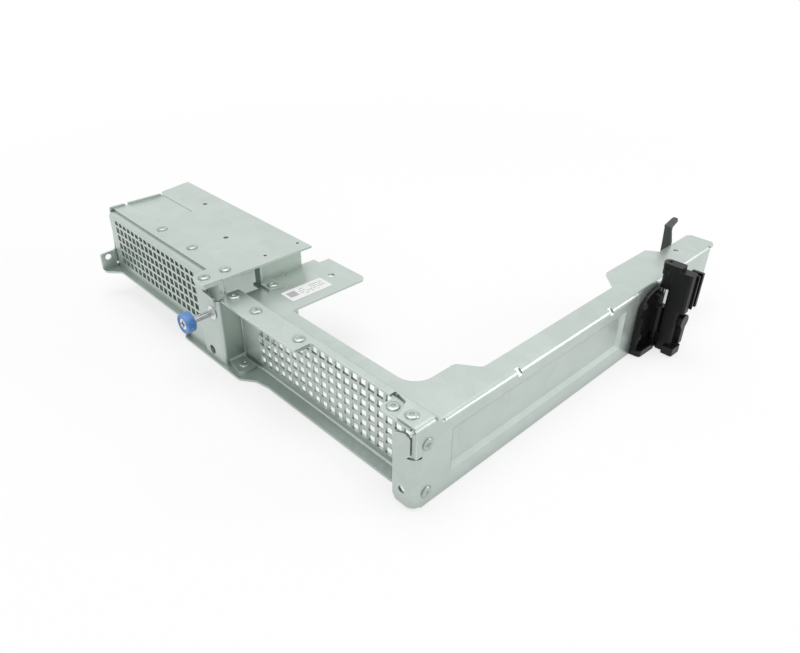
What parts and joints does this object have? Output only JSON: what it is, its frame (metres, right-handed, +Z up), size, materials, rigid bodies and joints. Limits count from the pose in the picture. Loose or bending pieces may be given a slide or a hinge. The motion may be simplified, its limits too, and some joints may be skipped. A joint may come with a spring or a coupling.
{
  "type": "riser cage bracket",
  "caption": "L-shaped sheet-metal riser cage: a perforated front wall with a vented card box at one end and a long side arm with a card latch at the other.",
  "frame": {"origin": "on the table plane under the middle of the side web's thickness, in line with the front face of the grille wall", "axes": "+X out of the side web, away from the box; +Y from the front wall along the side arm to its far end; +Z up"},
  "size_m": [0.2253, 0.213, 0.0423],
  "materials": {
    "zinc_sheet": "zinc-coated steel sheet with a fine grain, light grey, slightly blue-green, satin",
    "rivet_steel": "plain steel rivets, slightly darker than the sheet, satin",
    "turned_steel": "bright turned steel",
    "blue_plastic": "bright blue moulded plastic, softly shining",
    "black_plastic": "black moulded plastic, slightly shining on its edges",
    "black_steel": "black-finished spring steel strip",
    "label_film": null
  },
  "bodies": {
    "cage": {"main_frame": "zinc_sheet", "grille_wall": "zinc_sheet", "box_tray": "zinc_sheet", "vent_wall": "zinc_sheet", "box_cover": "zinc_sheet", "left_end_wall": "zinc_sheet", "inner_panel": "zinc_sheet", "end_bracket": "zinc_sheet", "end_post": "zinc_sheet", "strip_rivet_1": "rivet_steel", "strip_rivet_2": "rivet_steel", "strip_rivet_3": "rivet_steel", "corner_rivet_1": "rivet_steel", "corner_rivet_2": "rivet_steel", "web_rivet_1": "rivet_steel", "web_rivet_2": "rivet_steel", "cover_rivet_1": "rivet_steel", "cover_rivet_2": "rivet_steel", "cover_rivet_3": "rivet_steel", "cover_rivet_4": "rivet_steel", "foot_rivet": "rivet_steel", "end_rivet": "rivet_steel", "latch_rivet_1": "rivet_steel", "latch_rivet_2": "rivet_steel", "label": "label_film", "screw_ferrule": "turned_steel", "latch_base": "black_plastic", "latch_pin": "turned_steel", "release_hook": "black_steel"},
    "screw_ring": {"screw_collar": "turned_steel"},
    "thumbscrew": {"thumbscrew_screw": "turned_steel", "thumbscrew_knob": "blue_plastic"},
    "card_latch": {"latch_lever": "black_plastic", "latch_cap": "black_plastic", "latch_clip": "black_plastic"}
  },
  "joints": [
    {"name": "thumbscrew_travel", "type": "slide", "parent": "cage", "child": "screw_ring", "axis": [0, 1, 0], "range_m": [0, 0.0076]},
    {"name": "thumbscrew_turn", "type": "hinge", "parent": "screw_ring", "child": "thumbscrew", "pos_m": [-0.1139, -0.019, 0.0249], "axis": [0, 1, 0], "continuous": true},
    {"name": "latch_swing", "type": "hinge", "parent": "cage", "child": "card_latch", "pos_m": [0.0032, 0.137, 0.03], "axis": [0, 0, 1], "range_deg": [0, 40]}
  ]
}
